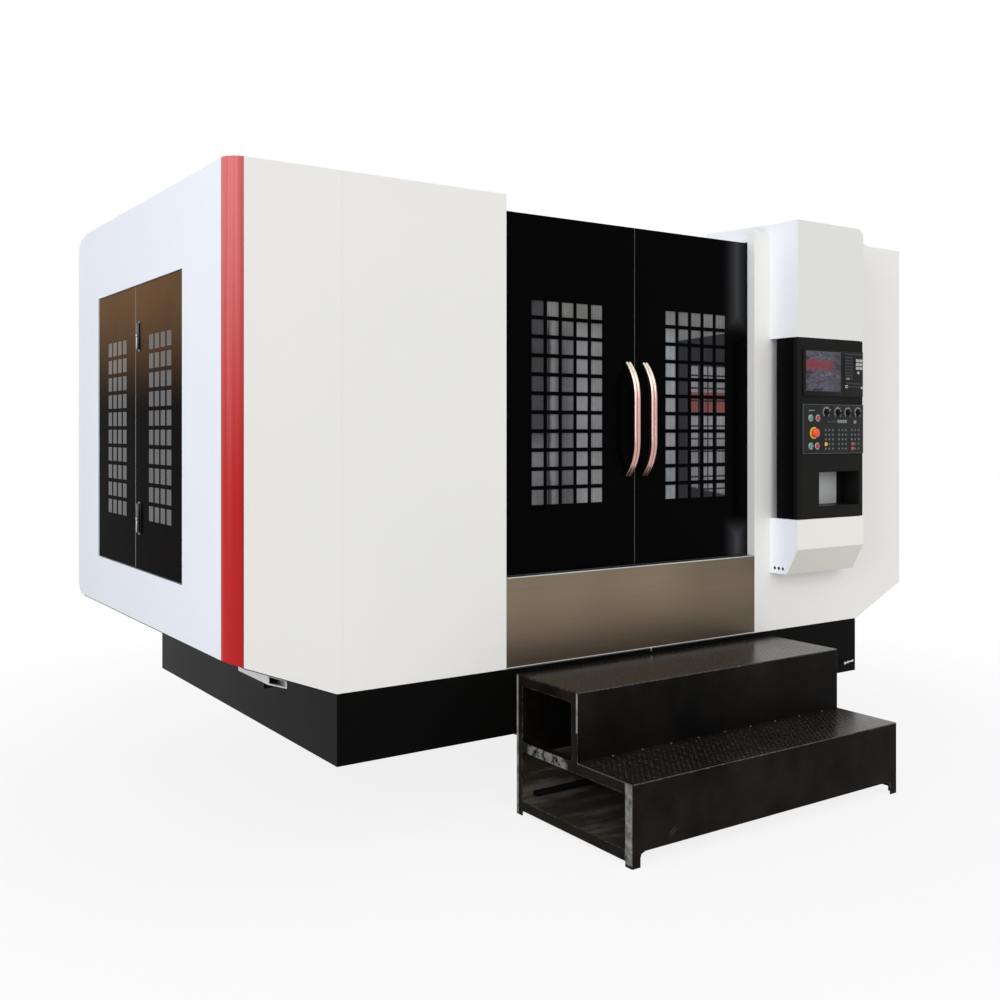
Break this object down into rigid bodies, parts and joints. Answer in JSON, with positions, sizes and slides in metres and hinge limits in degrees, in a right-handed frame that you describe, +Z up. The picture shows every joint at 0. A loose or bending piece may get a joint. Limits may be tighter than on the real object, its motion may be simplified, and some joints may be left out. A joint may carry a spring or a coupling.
{
  "type": "cnc machining center",
  "caption": "Vertical machining centre in a white sheet-metal enclosure with sliding windowed doors, an operator console and steps.",
  "frame": {"origin": "on the floor, in the middle of the rectangle that the machine covers", "axes": "+X to the right as the operator sees it, +Y to the rear, +Z up"},
  "size_m": [3.812, 3.287, 2.82],
  "materials": {
    "cast_iron_paint": "grey machine enamel on cast iron",
    "ground_iron": "ground cast iron",
    "guide_steel": "ground steel",
    "feet_steel": "zinc plated steel",
    "motor_black": "black motor enamel",
    "white_coat": "smooth white powder coat",
    "inner_white": "light grey powder coat",
    "red_coat": "gloss red powder coat",
    "black_satin": "satin black powder coat",
    "black_gloss": "gloss black powder coat",
    "bronze_steel": "brushed stainless steel",
    "frame_steel": "grey primer on steel",
    "handle_chrome": "warm polished chrome",
    "latch_steel": "polished zinc",
    "grey_glass": "grey tinted safety glass",
    "step_black": "worn black paint on steel",
    "panel_plastic": "dark matt plastic",
    "stop_red": "orange-red gloss plastic",
    "button_green": "green gloss plastic",
    "button_red": "red gloss plastic",
    "dial_black": "black matt plastic",
    "magazine_alu": "machined aluminium",
    "arm_steel": "blackened steel",
    "drive_grey": "grey drive housings on a zinc plate",
    "tank_green": "light grey paint on sheet steel"
  },
  "bodies": {
    "machine": {"bed": "cast_iron_paint", "column": "cast_iron_paint", "linear_rails": "guide_steel", "levelling_feet": "feet_steel", "base_skirt": "black_satin", "left_wall": "white_coat", "right_wall": "white_coat", "rear_walls": "inner_white", "side_pans": "black_satin", "front_left_panels": "white_coat", "corner_column": "red_coat", "front_right_panel": "white_coat", "apron": "bronze_steel", "roof_panels": "inner_white", "duct_cover": "white_coat", "top_beam": "frame_steel", "door_rails": "frame_steel", "axis_motors": "motor_black", "changer_housing": "cast_iron_paint", "electrical_cabinet": "white_coat", "drive_units": "drive_grey", "console_upper_housing": "white_coat", "console_lower_housing": "white_coat", "step_frame": "step_black", "step_treads": "step_black", "coolant_tank": "tank_green"},
    "saddle_group": {"saddle": "cast_iron_paint", "x_rails": "guide_steel", "x_motor": "motor_black"},
    "table_group": {"table": "ground_iron"},
    "y_screw_group": {"y_screw": "guide_steel"},
    "x_screw_group": {"x_screw": "guide_steel"},
    "z_screw_group": {"z_screw": "guide_steel"},
    "head_group": {"head": "cast_iron_paint", "spindle_motor": "motor_black"},
    "spindle_group": {"spindle": "guide_steel"},
    "magazine_group": {"magazine": "magazine_alu"},
    "change_arm_group": {"change_arm": "arm_steel"},
    "left_door_group": {"left_door": "black_gloss", "left_door_glass": "grey_glass", "left_door_handle": "handle_chrome"},
    "right_door_group": {"right_door": "black_gloss", "right_door_glass": "grey_glass", "right_door_handle": "handle_chrome"},
    "side_front_group": {"side_door_front": "black_gloss", "side_glass_front": "grey_glass", "side_door_latches": "latch_steel"},
    "side_rear_group": {"side_door_rear": "black_gloss", "side_glass_rear": "grey_glass"},
    "cabinet_door_group": {"cabinet_door": "white_coat"},
    "console_group": {"console_body": "black_satin", "display_unit": "panel_plastic", "operator_panel": "panel_plastic"},
    "e_stop_group": {"e_stop": "stop_red"},
    "start_group": {"start_button": "button_green"},
    "stop_group": {"stop_button": "button_red"},
    "dial_1_group": {"dial_1": "dial_black"},
    "dial_2_group": {"dial_2": "dial_black"},
    "dial_3_group": {"dial_3": "dial_black"},
    "dial_4_group": {"dial_4": "dial_black"}
  },
  "joints": [
    {"name": "left_door_slide", "type": "slide", "parent": "machine", "child": "left_door_group", "axis": [-1, 0, 0], "range_m": [0, 0.64]},
    {"name": "right_door_slide", "type": "slide", "parent": "machine", "child": "right_door_group", "axis": [1, 0, 0], "range_m": [0, 0.64]},
    {"name": "side_front_hinge", "type": "hinge", "parent": "machine", "child": "side_front_group", "pos_m": [-1.876, -0.3835, 1.617], "axis": [0, 0, 1], "range_deg": [0, 105]},
    {"name": "side_rear_hinge", "type": "hinge", "parent": "machine", "child": "side_rear_group", "pos_m": [-1.876, 0.8525, 1.617], "axis": [0, 0, -1], "range_deg": [0, 105]},
    {"name": "saddle_slide", "type": "slide", "parent": "machine", "child": "saddle_group", "axis": [0, 1, 0], "range_m": [-0.35, 0.35]},
    {"name": "table_slide", "type": "slide", "parent": "saddle_group", "child": "table_group", "axis": [1, 0, 0], "range_m": [-0.65, 0.65]},
    {"name": "head_slide", "type": "slide", "parent": "machine", "child": "head_group", "axis": [0, 0, 1], "range_m": [-0.45, 0.25]},
    {"name": "spindle_turn", "type": "hinge", "parent": "head_group", "child": "spindle_group", "pos_m": [0.049, -0.0495, 1.68], "axis": [0, 0, 1], "continuous": true},
    {"name": "magazine_turn", "type": "hinge", "parent": "machine", "child": "magazine_group", "pos_m": [-0.551, -0.0495, 2.25], "axis": [1, 0, 0], "continuous": true},
    {"name": "change_arm_turn", "type": "hinge", "parent": "machine", "child": "change_arm_group", "pos_m": [-0.276, -0.0495, 1.87], "axis": [0, 0, 1], "range_deg": [0, 28]},
    {"name": "y_screw_turn", "type": "hinge", "parent": "machine", "child": "y_screw_group", "pos_m": [0.049, -0.0495, 0.688], "axis": [0, 1, 0], "range_deg": [-10505, 10505]},
    {"name": "x_screw_turn", "type": "hinge", "parent": "saddle_group", "child": "x_screw_group", "pos_m": [0.049, -0.0495, 0.875], "axis": [1, 0, 0], "range_deg": [-19505, 19505]},
    {"name": "z_screw_turn", "type": "hinge", "parent": "machine", "child": "z_screw_group", "pos_m": [0.049, 0.7405, 1.9], "axis": [0, 0, 1], "range_deg": [-7505, 13505]},
    {"name": "console_swivel", "type": "hinge", "parent": "machine", "child": "console_group", "pos_m": [0.972, -1.0095, 1.612], "axis": [0, 0, -1], "range_deg": [0, 80]},
    {"name": "e_stop_push", "type": "slide", "parent": "console_group", "child": "e_stop_group", "axis": [0, 1, 0], "range_m": [0, 0.0034], "stiffness_N_per_m": 1500},
    {"name": "start_push", "type": "slide", "parent": "console_group", "child": "start_group", "axis": [0, 1, 0], "range_m": [0, 0.003], "stiffness_N_per_m": 900},
    {"name": "stop_push", "type": "slide", "parent": "console_group", "child": "stop_group", "axis": [0, 1, 0], "range_m": [0, 0.003], "stiffness_N_per_m": 900},
    {"name": "dial_1_turn", "type": "hinge", "parent": "console_group", "child": "dial_1_group", "pos_m": [1.086, -1.0845, 1.693], "axis": [0, -1, 0], "range_deg": [-135, 135]},
    {"name": "dial_2_turn", "type": "hinge", "parent": "console_group", "child": "dial_2_group", "pos_m": [1.172, -1.0845, 1.692], "axis": [0, -1, 0], "range_deg": [-135, 135]},
    {"name": "dial_3_turn", "type": "hinge", "parent": "console_group", "child": "dial_3_group", "pos_m": [1.248, -1.0845, 1.692], "axis": [0, -1, 0], "range_deg": [-135, 135]},
    {"name": "dial_4_turn", "type": "hinge", "parent": "console_group", "child": "dial_4_group", "pos_m": [1.325, -1.0845, 1.693], "axis": [0, -1, 0], "range_deg": [-135, 135]},
    {"name": "cabinet_hinge", "type": "hinge", "parent": "machine", "child": "cabinet_door_group", "pos_m": [1.772, 1.6055, 1.51], "axis": [0, 0, -1], "range_deg": [0, 110]}
  ],
  "couplings": [
    {"joint": "y_screw_turn", "follows": "saddle_slide", "rad_per_m": -523.6},
    {"joint": "x_screw_turn", "follows": "table_slide", "rad_per_m": -523.6},
    {"joint": "z_screw_turn", "follows": "head_slide", "rad_per_m": -523.6}
  ]
}
